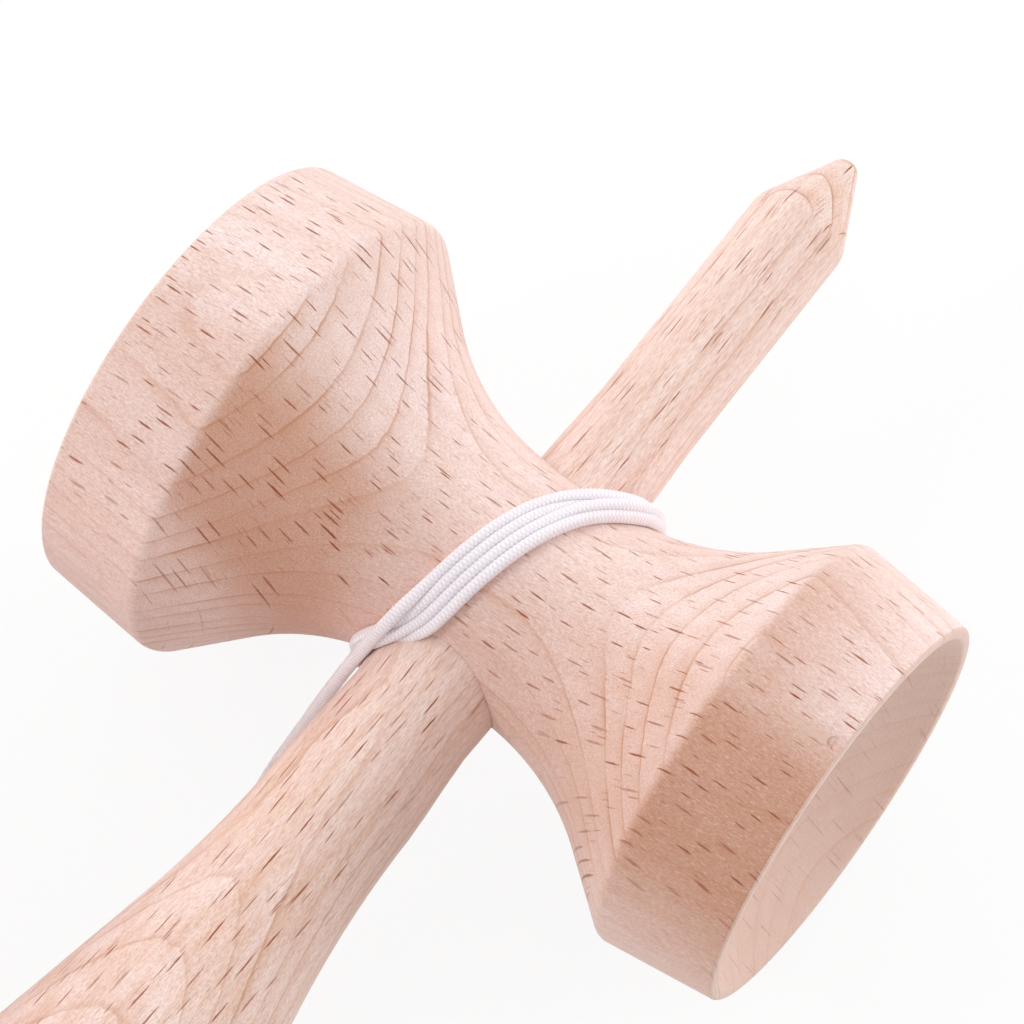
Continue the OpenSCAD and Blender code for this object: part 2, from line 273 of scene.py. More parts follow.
class Wiring:
    """Adds nodes to one node tree and links them."""

    def __init__(self, tree: bpy.types.NodeTree) -> None:
        """Starts on a node tree."""
        self.tree = tree

    @classmethod
    def cleared(cls, owner: Union[bpy.types.Material, bpy.types.World]) -> "Wiring":
        """Starts on an emptied tree.

        Args:
            owner: A new material or sky.

        Returns:
            The wiring of its tree, without the nodes it came with.
        """
        owner.use_nodes = True
        owner.node_tree.nodes.clear()
        return cls(owner.node_tree)

    @classmethod
    def group(cls, name: str, inputs: Mapping[str, str],
              outputs: Mapping[str, str]) -> tuple["Wiring", bpy.types.Node, bpy.types.Node]:
        """Starts a shader node group.

        Args:
            name: Name of the group.
            inputs: Names of its inputs with the last word of their socket type.
            outputs: Names of its outputs with the last word of their socket type.

        Returns:
            The wiring inside, the node of the inputs and the node of the outputs.
        """
        tree = bpy.data.node_groups.new(name, "ShaderNodeTree")
        for way, sockets in (("INPUT", inputs), ("OUTPUT", outputs)):
            for title, kind in sockets.items():
                tree.interface.new_socket(title, in_out=way, socket_type="NodeSocket" + kind)
        return cls(tree), tree.nodes.new("NodeGroupInput"), tree.nodes.new("NodeGroupOutput")

    def feed(self, socket: Socket, value: Feed) -> None:
        """Links a socket to another, or sets its value.

        Args:
            socket: The input to feed.
            value: Another node's output, or a plain value.
        """
        if isinstance(value, Socket):
            self.tree.links.new(value, socket)
        elif socket.type == "RGBA":
            socket.default_value = (*value[:3], 1.0)
        else:
            socket.default_value = value

    def fill(self, made: bpy.types.Node, values: Values) -> None:
        """Feeds the inputs of a node by their names or numbers."""
        for title, value in values.items():
            self.feed(made.inputs[title], value)

    def node(self, kind: str, values: Optional[Values] = None, **settings: object) -> bpy.types.Node:
        """Adds a shader node.

        Args:
            kind: Blender's name of the kind, without its first words.
            values: What its inputs take, by their names or numbers.
            settings: Its properties.

        Returns:
            The node.
        """
        made = self.tree.nodes.new("ShaderNode" + kind)
        for name, value in settings.items():
            setattr(made, name, value)
        self.fill(made, values or {})
        return made

    def math(self, operation: str, *values: Feed, clamp: bool = False) -> Socket:
        """Adds a sum of up to three values, held between 0 and 1 where clamp is set."""
        return self.node("Math", dict(enumerate(values)), operation=operation, use_clamp=clamp).outputs[0]

    def chain(self, operation: str, *values: Feed) -> Socket:
        """Carries one operation through a row of values."""
        return reduce(lambda first, second: self.math(operation, first, second), values)

    def times(self, *values: Feed) -> Socket:
        """Multiplies values."""
        return self.chain("MULTIPLY", *values)

    def plus(self, *values: Feed) -> Socket:
        """Adds values."""
        return self.chain("ADD", *values)

    def minus(self, first: Feed, second: Feed) -> Socket:
        """Takes the second value from the first."""
        return self.math("SUBTRACT", first, second)

    def scaled(self, value: Feed, factor: Feed, offset: Feed) -> Socket:
        """Multiplies a value by a factor and adds an offset."""
        return self.math("MULTIPLY_ADD", value, factor, offset)

    def point(self, *values: Feed) -> Socket:
        """Joins three values to a vector."""
        return self.node("CombineXYZ", dict(enumerate(values))).outputs[0]

    def parts(self, vector: Socket) -> tuple[Socket, ...]:
        """Splits a vector into its three values."""
        return tuple(self.node("SeparateXYZ", {0: vector}).outputs)

    def stretched(self, vector: Socket, scale: Feed) -> Socket:
        """Scales a vector along each axis."""
        return self.node("VectorMath", {0: vector, 1: scale}, operation="MULTIPLY").outputs[0]

    def place(self) -> Socket:
        """Gives the place on the piece in millimetres."""
        return self.stretched(self.node("TexCoord").outputs["Object"], PER_METRE)

    def cloud(self, vector: Socket, scale: Feed, detail: float = 2.0, rough: float = 0.5) -> Socket:
        """Adds a smooth noise.

        Args:
            vector: Place in millimetres.
            scale: Waves per millimetre along each axis.
            detail: Number of finer layers.
            rough: Share of the finer layers.

        Returns:
            A value around 0.5.
        """
        made = self.node("TexNoise", {"Vector": self.stretched(vector, scale), "Scale": 1.0,
                                      "Detail": detail, "Roughness": rough}, noise_dimensions="3D")
        return made.outputs["Fac"]

    def line_cloud(self, value: Socket, scale: float, detail: float) -> Socket:
        """Adds a smooth noise along one value."""
        return self.node("TexNoise", {"W": value, "Scale": scale, "Detail": detail},
                         noise_dimensions="1D").outputs["Fac"]

    def ramp(self, value: Feed, low: Feed, high: Feed, start: float = 0.0, end: float = 1.0) -> Socket:
        """Eases from start to end while a value runs from low to high."""
        return self.node("MapRange", dict(enumerate((value, low, high, start, end))),
                         interpolation_type="SMOOTHSTEP").outputs[0]

    def blend(self, share: Feed, first: Feed, second: Feed, mode: str = "MIX") -> Socket:
        """Mixes two colours, by the share of the second one."""
        return self.node("Mix", {"Factor": share, 6: first, 7: second}, data_type="RGBA",
                         blend_type=mode, clamp_factor=True).outputs[2]

    def backdrop_rays(self, gloss: float) -> Socket:
        """Marks the rays that look at the backdrop, with a share for those of gloss."""
        rays = self.node("LightPath").outputs
        return self.chain("MAXIMUM", rays["Is Camera Ray"], self.times(rays["Is Glossy Ray"], gloss),
                          rays["Is Transmission Ray"])


class BeechFigure:
    """Node group of the figure of beech: growth rings, ray flecks, fibres and lathe lines."""

    NAME = "beech_figure"
    FACES = ("end_face", "side_face")
    NUMBERS = ("spacing", "phase", "fleck_length", "fleck_width", "streak", "shade_band_at", "pores", "rings")
    TINTS = ("pale", "tan", "red", "line", "fleck", "hollow", "slant")
    # Colour of the painted glints on the fibres
    PAINTED_GLINT = (0.95, 0.885, 0.82)
    # Scale, shift, least and greatest size, least and greatest strength of each set of flecks
    FLECKS = ((1.0, 0.0, 0.055, 0.125, 0.4, 1.0), (1.0, 0.5, 0.055, 0.125, 0.4, 1.0),
              (0.5, 0.25, 0.05, 0.14, 0.1, 0.5))

    def __init__(self) -> None:
        """Starts the group: place in millimetres along, across and through the rings."""
        inputs = {"place": "Vector", **dict.fromkeys(self.FACES + self.NUMBERS, "Float"),
                  **dict.fromkeys(self.TINTS, "Color")}
        self.w, given, self.taken = Wiring.group(
            self.NAME, inputs, {"Color": "Color", "Roughness": "Float", "Height": "Float"})
        self.ask = given.outputs
        self.place = self.ask["place"]
        self.along, self.across, self.through = self.w.parts(self.place)
        self.end = self.w.math("ABSOLUTE", self.ask["end_face"])
        self.hollow = self.w.ramp(self.ask["end_face"], 0.45, 0.6)
        self.outside = self.w.minus(1.0, self.hollow)
        self.rough = self.w.scaled(self.hollow, -0.6, 1.0)

    @classmethod
    def tree(cls) -> bpy.types.NodeTree:
        """Gives the group, built the first time."""
        return bpy.data.node_groups.get(cls.NAME) or cls().built()

    def around(self, scale: Triple, reach: float, detail: float, rough: float = 0.5) -> Socket:
        """Gives a noise that strays to both sides of zero by half of its reach."""
        return self.w.scaled(self.w.cloud(self.place, scale, detail, rough), reach, -reach / 2)

    def growth(self) -> tuple[Socket, Socket]:
        """Draws the growth rings.

        Returns:
            The dark line that ends each ring, and the share of its colour with the soft shade before it.
        """
        w, side = self.w, self.ask["side_face"]
        bowed = w.times(self.across, self.across, 0.0035)
        depth = w.plus(self.through, bowed, self.around((0.014, 0.06, 0.06), 2.2, 1.0),
                       self.around((0.22, 0.9, 0.9), 0.3, 3.0, 0.6))
        count = w.plus(w.math("DIVIDE", depth, self.ask["spacing"]), self.ask["phase"])
        uneven = w.scaled(w.line_cloud(count, 0.55, 1.0), 1.1, -0.55)
        share = w.math("FRACT", w.plus(count, uneven))
        stop = w.ramp(share, 0.98, 1.0, 1.0, 0.0)
        line = w.times(w.ramp(share, 0.87, 0.97), stop)
        soft = w.times(w.math("POWER", w.ramp(share, 0.25, 0.97), 2.0), stop)
        level = w.math("SUBTRACT", 1.0, w.plus(w.times(self.end, self.end), w.times(side, side)), clamp=True)
        faint = w.times(w.ramp(w.cloud(self.place, (0.05, 0.16, 0.35), 2.0), 0.34, 0.66, 0.35, 1.0),
                        w.scaled(self.hollow, -0.7, 1.0), w.ramp(self.end, 0.25, 0.6, 0.5, 1.0),
                        self.ask["rings"], w.ramp(level, 0.6, 0.95, 1.0, 0.75))
        return line, w.times(faint, w.plus(w.times(line, 0.55), w.times(soft, 0.24)))

    def rays(self) -> Socket:
        """Draws the ray flecks, faint where the rays meet the face on edge.

        Returns:
            The share of their colour.
        """
        w = self.w
        lane = w.plus(self.across, self.around((0.04, 0.05, 0.06), 1.6, 1.0),
                      self.around((1.3, 4.5, 4.5), 0.09, 2.0, 0.6))
        run = w.plus(self.along, self.around((0.8, 2.6, 2.6), 0.7, 2.0))
        flecks = []
        for scale, shift, least, most, pale, dark in self.FLECKS:
            cell = [w.plus(w.math("DIVIDE", way, w.times(self.ask[size], scale)), shift)
                    for way, size in ((run, "fleck_length"), (lane, "fleck_width"))]
            spot = w.node("TexVoronoi", {"Vector": w.point(*cell, 0.0), "Scale": 1.0, "Randomness": 0.75},
                          voronoi_dimensions="2D", feature="F1")
            red, green, _ = w.parts(spot.outputs["Color"])
            size = w.scaled(red, most - least, least)
            shape = w.ramp(spot.outputs["Distance"], w.times(size, 0.45), size, 1.0, 0.0)
            flecks.append(w.times(shape, w.scaled(green, dark - pale, pale)))
        edgewise = w.ramp(self.ask["side_face"], 0.72, 0.97, 1.0, 0.16)
        return w.times(w.chain("MAXIMUM", *flecks), edgewise, self.rough)

    def painted_shade_band(self) -> Socket:
        """Draws painted shade as a tan band on the side of the piece towards the handle, which the lamps
        light least, and which shows in steps where the ridges cut it.

        Returns:
            The share of its colour.
        """
        w, along = self.w, self.along
        # painted shade: the band lies around shade_band_at across the grain
        over = w.minus(self.across, self.ask["shade_band_at"])
        zones = w.plus(w.ramp(along, -24.4, -23.2, 0.28, 0.7), w.ramp(along, -13.0, -7.0, 0.0, -0.34),
                       w.ramp(along, 23.2, 24.4, 0.0, 0.44))
        below = w.chain("MAXIMUM", over, w.times(over, w.ramp(along, -6.0, 6.0, -1.5, -1.0)))
        core = w.times(w.ramp(below, 4.5, 13.0, 1.0, 0.0), zones)
        beside = w.math("ABSOLUTE", w.minus(over, 14.0))
        wing = w.times(w.ramp(beside, 6.0, 13.0, 1.0, 0.0), w.ramp(along, 23.2, 24.4),
                       w.ramp(along, 24.0, 35.0, 0.5, 0.12))
        return w.times(w.chain("MAXIMUM", core, wing), self.outside)

    def ground(self, fibre: Socket, pores: Socket) -> Socket:
        """Mixes the wood between rings and flecks.

        Args:
            fibre: Noise of the fibres.
            pores: Noise of the pores.

        Returns:
            The colour.
        """
        w, ask = self.w, self.ask
        streak = w.cloud(self.place, (0.022, 0.85, 0.85), 2.0, 0.55)
        tone = w.cloud(self.place, (0.04, 0.07, 0.07), 2.0)
        mix = w.plus(w.scaled(tone, 1.0, -0.3), w.times(w.minus(streak, 0.46), ask["streak"]))
        mix = w.math("ADD", mix, w.scaled(fibre, 0.6, -0.3), clamp=True)
        colour = w.blend(mix, ask["pale"], ask["tan"])
        colour = w.blend(w.times(w.ramp(self.end, 0.4, 0.75), self.outside, 0.12), colour, ask["slant"])
        colour = w.blend(w.times(self.hollow, 0.6), colour, ask["hollow"])
        # painted shade: the red tint darkens the tan band on the side the lamps light least
        colour = w.blend(self.painted_shade_band(), colour, ask["red"])
        speck = w.ramp(pores, 0.3, 0.7, 0.82, 1.13)
        shade = w.point(w.scaled(speck, 0.6, 0.4), speck, speck)
        colour = w.blend(self.rough, colour, w.blend(1.0, colour, shade, "MULTIPLY"))
        strands = w.ramp(w.cloud(self.place, (1.1, 10.0, 10.0), 1.0), 0.56, 0.74, 0.0, 0.36)
        colour = w.blend(w.times(self.rough, strands), colour, ask["line"])
        # painted glints: pale specks along the fibres stand for the shine of the wood
        painted_glints = w.ramp(w.cloud(self.place, (1.5, 9.5, 9.5), 1.0), 0.6, 0.76, 0.0, 0.34)
        return w.blend(w.times(self.rough, painted_glints), colour, self.PAINTED_GLINT)

    def built(self) -> bpy.types.NodeTree:
        """Joins rings, flecks and ground, and adds the fine lines that the turning tool leaves.

        Returns:
            The node group.
        """
        w, ask = self.w, self.ask
        line, ring = self.growth()
        fleck = self.rays()
        fibre = w.cloud(self.place, (0.3, 6.5, 6.5), 3.0, 0.6)
        pores = w.cloud(self.place, w.point(ask["pores"], 8.5, 8.5), 2.0, 0.75)
        colour = w.blend(ring, self.ground(fibre, pores), ask["line"])
        colour = w.blend(fleck, colour, ask["fleck"])
        reach = w.math("SQRT", w.plus(w.times(self.across, self.across), w.times(self.through, self.through)))
        groove = w.line_cloud(w.plus(reach, w.math("ABSOLUTE", self.along)), 3.2, 2.0)
        colour = w.blend(w.times(self.hollow, w.ramp(groove, 0.5, 0.75, 0.0, 0.5)), colour, ask["tan"])
        raised = w.plus(w.times(pores, 0.5), w.times(fibre, 0.9), w.times(groove, 0.45))
        sunk = w.plus(w.times(fleck, 0.7), w.times(line, 0.25))
        w.fill(self.taken, {"Color": colour, "Height": w.minus(raised, sunk),
                            "Roughness": w.plus(w.scaled(pores, 0.22, 0.42), w.times(fleck, -0.08))})
        return w.tree


@dataclass(frozen=True)
class BeechFinish:
    """Bare sanded beech of one piece, with its own cut of the grain."""

    name: str
    slot: str
    grain: Grain
    middle: Triple = (0.0, 0.0, 0.0)
    start: Triple = (0.0, 0.0, 0.0)
    tipped: bool = True
    hollows: bool = True
    spacing: float = 2.6
    phase: float = 0.0
    fleck_length: float = 9.8
    fleck_width: float = 1.0
    streak: float = 0.9
    shade_band_at: float = 1000.0
    pores: float = 2.4
    rings: float = 1.0
    pale: Tint = from_srgb(248, 227, 223)
    tan: Tint = from_srgb(231, 192, 171)
    # red is the tan of the painted shade band
    red: Tint = from_srgb(199, 139, 105)
    line: Tint = from_srgb(198, 138, 102)
    fleck: Tint = from_srgb(156, 74, 32)
    hollow: Tint = from_srgb(208, 174, 154)
    slant: Tint = from_srgb(228, 180, 152)
    relief: float = 0.000035
    bump: float = 0.55
    gloss: float = 0.28
    sheen: float = 0.12
    sheen_rough: float = 0.45
    sheen_tint: Tint = (1.0, 0.97, 0.96)

    def axes(self) -> Matrix:
        """Gives the turn from the floor's axes to those of the grain."""
        back = LAY.turn().inverted() if self.tipped else Matrix.Identity(4)
        return Matrix.Rotation(radians(self.grain.value), 4, "Z") @ back

    def dress(self, piece: Piece) -> None:
        """Shades a turned piece smoothly and gives it the finish.

        Args:
            piece: The finished piece.
        """
        axes = self.axes()
        back = axes.inverted()
        middle = LAY.placed(self.middle) if self.tipped else Vector(self.middle) * MM
        Lathe.smooth(piece)
        Lathe.mark_faces(piece, middle, (back @ Vector((1, 0, 0))).normalized(),
                         (back @ Vector((0, 1, 0))).normalized(), self.hollows)
        made = bpy.data.materials.new(self.name)
        w = Wiring.cleared(made)
        turned = w.node("Mapping", {"Vector": w.node("TexCoord").outputs["Object"], "Scale": PER_METRE,
                                    "Rotation": axes.to_euler("XYZ"),
                                    "Location": Vector(self.start) - axes @ (middle * 1000)},
                        vector_type="POINT")
        values = {name: getattr(self, name) for name in BeechFigure.NUMBERS + BeechFigure.TINTS}
        for name in BeechFigure.FACES:
            values[name] = w.node("Attribute", attribute_name=name).outputs["Fac"]
        figure = w.node("Group", {"place": turned.outputs[0], **values}, node_tree=BeechFigure.tree())
        bump = w.node("Bump", {"Strength": self.bump, "Distance": self.relief,
                               "Height": figure.outputs["Height"]})
        wood = w.node("BsdfPrincipled", {
            "Base Color": figure.outputs["Color"], "Roughness": figure.outputs["Roughness"],
            "Normal": bump.outputs["Normal"], "Specular IOR Level": self.gloss, "Sheen Weight": self.sheen,
            "Sheen Roughness": self.sheen_rough, "Sheen Tint": self.sheen_tint})
        w.node("OutputMaterial", {"Surface": wood.outputs["BSDF"]})
        piece.data.materials.clear()
        piece.data.materials.append(made)


@dataclass(frozen=True)
class CordFinish:
    """White braided nylon: staggered rows of small stitches with faint painted shade between them."""

    name: str = "braided_nylon"
    slot: str = "cord"
    columns: int = 4
    stitch: float = 0.4
    relief: float = 0.00003
    bump: float = 0.45
    glow: float = 0.5
    glow_radius: Triple = (1.0, 0.95, 0.95)
    glow_depth: float = 0.0004
    sheen: float = 0.25
    sheen_rough: float = 0.4
    crest: Tint = from_srgb(255, 253, 255)
    aged: Tint = from_srgb(250, 246, 250)
    # gap is the tint of painted shade in the crevices between stitches
    gap: Tint = from_srgb(240, 228, 240)

    def material(self) -> bpy.types.Material:
        """Gives the material, built the first time.

        Returns:
            The material.
        """
        found = bpy.data.materials.get(self.name)
        if found:
            return found
        made = bpy.data.materials.new(self.name)
        w = Wiring.cleared(made)
        run, over, up = w.parts(w.node("Attribute", attribute_name="plait").outputs["Vector"])
        along = w.math("DIVIDE", run, self.stitch)
        turn = w.times(w.math("ARCTAN2", up, over), self.columns / (2 * pi))
        stitch = w.times(*(w.math("ABSOLUTE", w.math("SINE", w.times(w.math(way, along, turn), pi)))
                           for way in ("ADD", "SUBTRACT")))
        place = w.place()
        fuzz = w.cloud(place, (9.0, 9.0, 9.0), 3.0, 0.6)
        age = w.cloud(place, (0.12, 0.12, 0.12), 2.0)
        crest = w.blend(w.ramp(age, 0.4, 0.7, 0.0, 0.3), self.crest, self.aged)
        # painted shade: the stitch mask darkens the crevices between stitches with the gap tint
        colour = w.blend(w.ramp(stitch, 0.05, 0.6), self.gap, crest)
        colour = w.blend(w.ramp(fuzz, 0.4, 0.75, 0.0, 0.14), colour, self.gap)
        bump = w.node("Bump", {"Strength": self.bump, "Distance": self.relief,
                               "Height": w.scaled(fuzz, 0.25, stitch)})
        nylon = w.node("BsdfPrincipled", {
            "Base Color": colour, "Roughness": w.ramp(fuzz, 0.3, 0.7, 0.42, 0.6),
            "Normal": bump.outputs["Normal"], "Subsurface Weight": self.glow,
            "Subsurface Radius": self.glow_radius, "Subsurface Scale": self.glow_depth,
            "Sheen Weight": self.sheen, "Sheen Roughness": self.sheen_rough})
        w.node("OutputMaterial", {"Surface": nylon.outputs["BSDF"]})
        return made

    def dress(self, piece: Piece) -> None:
        """Gives the finish to a piece of string.

        Args:
            piece: The finished piece.
        """
        piece.data.materials.clear()
        piece.data.materials.append(self.material())


@dataclass(frozen=True)
class Braid:
    """Round plaited string: a skin of small stitches that tells its finish where each one lies."""

    finish: CordFinish = CordFinish()
    sides: int = 24
    step: float = 0.12
    square: float = 2.0
    relief: float = 0.045
    mean: float = 0.45
    end_round: float = 0.45
    end_least: float = 0.02
    wide_least: float = 0.1

    def height(self, run: float, turn: float) -> float:
        """Gives how far a stitch stands out, from 0 between stitches to 1 on top of one."""
        along, over = run / self.finish.stitch, turn * self.finish.columns
        return abs(sin(pi * (along + over)) * sin(pi * (along - over)))

    def sheath(self, path: Sequence[Vector], ups: Sequence[Vector], widths: Sequence[tuple[float, float]],
               name: str, closed: bool = False, rounded: tuple[bool, bool] = (True, True)) -> Piece:
        """Lays a plaited skin round a path and gives it the string's finish.

        Args:
            path: Points of the string's middle line in metres.
            ups: Direction at each point that the section's height follows.
            widths: Half width and half height at each point, in millimetres.
            name: Name of the piece.
            closed: Whether the path runs back into its start.
            rounded: Whether the skin closes in at its start and at its end.

        Returns:
            The piece, with its run and its turn stored for the plait of its finish.
        """
        count, sides = len(path), self.sides
        bm = bmesh.new()
        plait = bm.verts.layers.float_vector.new("plait")
        bmesh.ops.create_grid(bm, x_segments=count - 1, y_segments=sides, size=1.0)
        run, frames = 0.0, []
        for i, here in enumerate(path):
            run += (here - path[i - 1]).length / MM if i else 0.0
            ahead = path[min(i + 1, count - 1)] - path[max(i - 1, 0)]
            if closed and i in (0, count - 1):
                ahead = path[1] - path[count - 2]
            side = ahead.cross(ups[i]).normalized()
            frames.append((here, side, side.cross(ahead).normalized(), run))
        total = run
        pace = round(total / self.finish.stitch) * self.finish.stitch / total if closed else 1.0
        for vert in bm.verts:
            i = round((vert.co.x + 1.0) / 2.0 * (count - 1))
            j = round((vert.co.y + 1.0) / 2.0 * sides)
            here, side, up, run = frames[i]
            wide, high = widths[i]
            near = min(run if rounded[0] else 1.0, total - run if rounded[1] else 1.0)
            ends = 1.0 if closed else min(1.0, sqrt(max(near, 0.0) / self.end_round + self.end_least))
            turn = (cos(2 * pi * j / sides), sin(2 * pi * j / sides))
            across, along_up = (abs(f) ** (2.0 / self.square) * (1.0 if f > 0 else -1.0) for f in turn)
            stitch = self.height(run * pace, j / sides) - self.mean
            proud = self.relief * stitch / max(wide, self.wide_least)
            vert[plait] = (run * pace, *turn)
            vert.co = here + (side * (wide * across) + up * (high * along_up)) * (ends * (1.0 + proud) * MM)
        bmesh.ops.remove_doubles(bm, verts=bm.verts, dist=2e-7)
        if not closed:
            bmesh.ops.holes_fill(bm, edges=[e for e in bm.edges if e.is_boundary], sides=0)
        bmesh.ops.recalc_face_normals(bm, faces=bm.faces)
        piece = Lathe.finished(bm, name, Matrix.Identity(4))
        piece.data.shade_smooth()
        self.finish.dress(piece)
        return piece


class Route:
    """Smooth path through points, with even steps."""

    @staticmethod
    def curved(points: Sequence[Vector], count: int) -> list[Vector]:
        """Puts points on a smooth curve through a route.

        Args:
            points: The route.
            count: Number of parts of each span.

        Returns:
            The points of the curve.
        """
        line: list[Vector] = []
        last = len(points) - 1
        for i in range(last):
            a, b, c, d = (points[max(i - 1, 0)], points[i], points[i + 1], points[min(i + 2, last)])
            for j in range(count):
                t = j / count
                line.append(0.5 * (2 * b + (c - a) * t + (2 * a - 5 * b + 4 * c - d) * t * t
                                   + (3 * b - a - 3 * c + d) * t * t * t))
        return line + [points[last].copy()]

    @staticmethod
    def length(points: Sequence[Vector]) -> float:
        """Gives the length of a path."""
        return sum((b - a).length for a, b in zip(points, points[1:]))

    @staticmethod
    def even(points: Sequence[Vector], step: float) -> list[Vector]:
        """Steps along a path at even distances.

        Args:
            points: The path.
            step: Wanted distance between steps.

        Returns:
            The new points.
        """
        runs = [0.0]
        for a, b in zip(points, points[1:]):
            runs.append(runs[-1] + (b - a).length)
        line, k = [], 0
        for want in spaced(0.0, runs[-1], max(2, round(runs[-1] / step))):
            while k < len(points) - 2 and runs[k + 1] < want:
                k += 1
            t = (want - runs[k]) / max(runs[k + 1] - runs[k], 1e-12)
            line.append(points[k].lerp(points[k + 1], min(t, 1.0)))
        return line

    @staticmethod
    def declared(points: Sequence[Vector]) -> list[tuple[float, ...]]:
        """Gives every eighth point of a path and its last one, as plain numbers."""
        return [tuple(p) for p in points[::8]] + [tuple(points[-1])]


@dataclass
class Cup:
    """One cup end of a turned piece."""

    ridge: float
    rim: float
    collar_start: float
    end: float
    depth: float
    lip_width: float = 1.15
    lip_round: float = 0.4
    lip_parts: int = 10
    bowl_parts: int = 24

    def outline(self) -> Outline:
        """Gives the outline from the ridge over the lip to the bottom of the hollow.

        Returns:
            Pairs of place along the axis and radius.
        """
        points = [(self.collar_start, self.ridge)]
        for angle in spaced(0.0, pi / 2, self.lip_parts):
            points.append((self.end - self.lip_round + self.lip_round * sin(angle),
                           self.rim - self.lip_round + self.lip_round * cos(angle)))
        inner = self.rim - self.lip_width
        bowl = (inner * inner + self.depth * self.depth) / (2 * self.depth)
        span = asin(inner / bowl)
        for i in range(self.bowl_parts + 1):
            angle = span * (1 - i / self.bowl_parts)
            points.append((self.end - self.depth + bowl * (1 - cos(angle)), bowl * sin(angle)))
        return points


@dataclass
class CrossPiece:
    """Turned cross-piece with the big cup, the waist and the small cup, bored for the stick.

    Each cup has a ridge radius, a rim radius, a depth and the angle of its flank. Each worn
    spot has a place, sizes and a turn about X.
    """

    half: float = 35.0
    ridge_from: float = 24.0
    waist: float = 10.8
    flank: float = 23.0
    big: tuple[float, float, float, float] = (22.5, 21.5, 9.0, 43.0)
    small: tuple[float, float, float, float] = (20.25, 19.0, 8.4, 38.0)
    neck: float = 6.1
    seat_end: float = 4.75
    seat_root: float = 9.0
    clear: float = 0.05
    anchor: tuple[float, float] = (2.8, -7.065)
    pocket: float = 2.154
    pocket_end: float = 2.4
    string_hole: float = 1.3
    ridge_soft: float = 0.55
    lip_soft: float = 0.22
    lip_sharp: float = 20.0
    near: float = 0.2
    steps: int = 160
    flank_parts: int = 20
    slope_parts: int = 4
    chip_ragged: float = 0.45
    chip_waves: float = 2.1
    chip_shift: float = 7.0
    worn: tuple[tuple[Triple, Triple, float], ...] = (
        ((-1.75, 9.9, 4.75), (0.55, 0.34, 0.7), 35.0), ((33.95, -0.75, 19.25), (0.55, 0.95, 0.32), 20.0))
    # The cross-piece carries the painted shade band, 10 mm towards the handle side.
    finish: BeechFinish = field(default_factory=lambda: BeechFinish(
        "beech_of_cross_piece", "beech_cross", Grain.ALONG_CROSS, spacing=2.0, phase=0.15, shade_band_at=-10.0))

    def flank_of(self, ridge: float, slope: float) -> tuple[float, float, float]:
        """Works out the hollow between the waist and the straight of a flank.

        Args:
            ridge: Radius of the ridge above the flank.
            slope: Angle of the flank in radians.

        Returns:
            Where the hollow starts, where it stops, and the radius where it stops.
        """
        top = self.waist + self.flank * (1 - cos(slope))
        stop = self.ridge_from - (ridge - top) / tan(slope)
        return stop - self.flank * sin(slope), stop, top

    def end_outline(self, sizes: tuple[float, float, float, float]) -> Outline:
        """Gives the outline of one half, from the waist to the bottom of its cup.

        Args:
            sizes: Ridge radius, rim radius, cup depth and flank angle.

        Returns:
            Pairs of distance from the crossing and radius.
        """
        ridge, rim, depth, slope = sizes
        start, stop, top = self.flank_of(ridge, radians(slope))
        points = [(start + self.flank * sin(angle), self.waist + self.flank * (1 - cos(angle)))
                  for angle in spaced(0.0, radians(slope), self.flank_parts)]
        points += between((stop, top), (self.ridge_from, ridge), self.slope_parts)
        return points + Cup(ridge, rim, self.ridge_from, self.half, depth).outline()

    def waist_radius(self, x: float) -> float:
        """Gives the radius of the waist and its flanks.

        Args:
            x: Place along the piece.

        Returns:
            The radius there.
        """
        ridge, _, _, slope = self.big if x < 0 else self.small
        over = max(abs(x) - self.flank_of(ridge, radians(slope))[0], 0.0)
        return self.waist + self.flank - sqrt(self.flank * self.flank - over * over)

    def shape(self) -> Shape:
        """Turns the piece and softens its ridges and lips.

        Returns:
            The shape before it is bored.
        """
        outline = [(-along, radius) for along, radius in reversed(self.end_outline(self.big))]
        bm = Lathe.turned(outline + self.end_outline(self.small), self.steps)
        Lathe.soften(bm, self.ridge_soft, lambda p: abs(abs(p.x) - self.ridge_from) < self.near)
        Lathe.soften(bm, self.lip_soft, lambda p: abs(p.x) > self.half - self.near, self.lip_sharp)
        return bm

    def cutters(self) -> list[Piece]:
        """Makes the shapes of the tapered bore, the string's anchor and the worn spots.

        Returns:
            The cutters.
        """
        slope = (self.neck - self.seat_end) / (2 * self.waist + self.seat_root)
        low, high = -2 * self.waist, 2 * self.waist
        seat = [(y, self.neck - slope * (y + self.waist) + self.clear) for y in (low, high)]
        pocket = [(low, self.pocket), (self.pocket_end, self.pocket)]
        ax, az = self.anchor
        hole = [(low, self.string_hole), (az, self.string_hole)]
        shapes = [("bore", Lathe.plug(seat, 96), QUARTER),
                  ("pocket", Lathe.plug(pocket, 48), Matrix.Translation((ax, 0, az)) @ QUARTER),
                  ("string_hole", Lathe.plug(hole, 32),
                   Matrix.Translation((ax, 0, 0)) @ Matrix.Rotation(radians(-90), 4, "Y"))]
        for k, (spot, sizes, angle) in enumerate(self.worn):
            chip = bmesh.new()
            bmesh.ops.create_icosphere(chip, subdivisions=3, radius=1.0)
            for vert in chip.verts:
                spot_noise = noise.noise(vert.co * self.chip_waves + Vector((self.chip_shift * k, 0, 0)))
                vert.co *= 1.0 + self.chip_ragged * spot_noise
            bmesh.ops.scale(chip, vec=sizes, verts=chip.verts)
            place = Matrix.Translation(spot) @ Matrix.Rotation(radians(angle), 4, "X")
            shapes.append((f"chip_{k}", chip, place))
        return [Lathe.finished(bm, name, LAY.matrix() @ place) for name, bm, place in shapes]

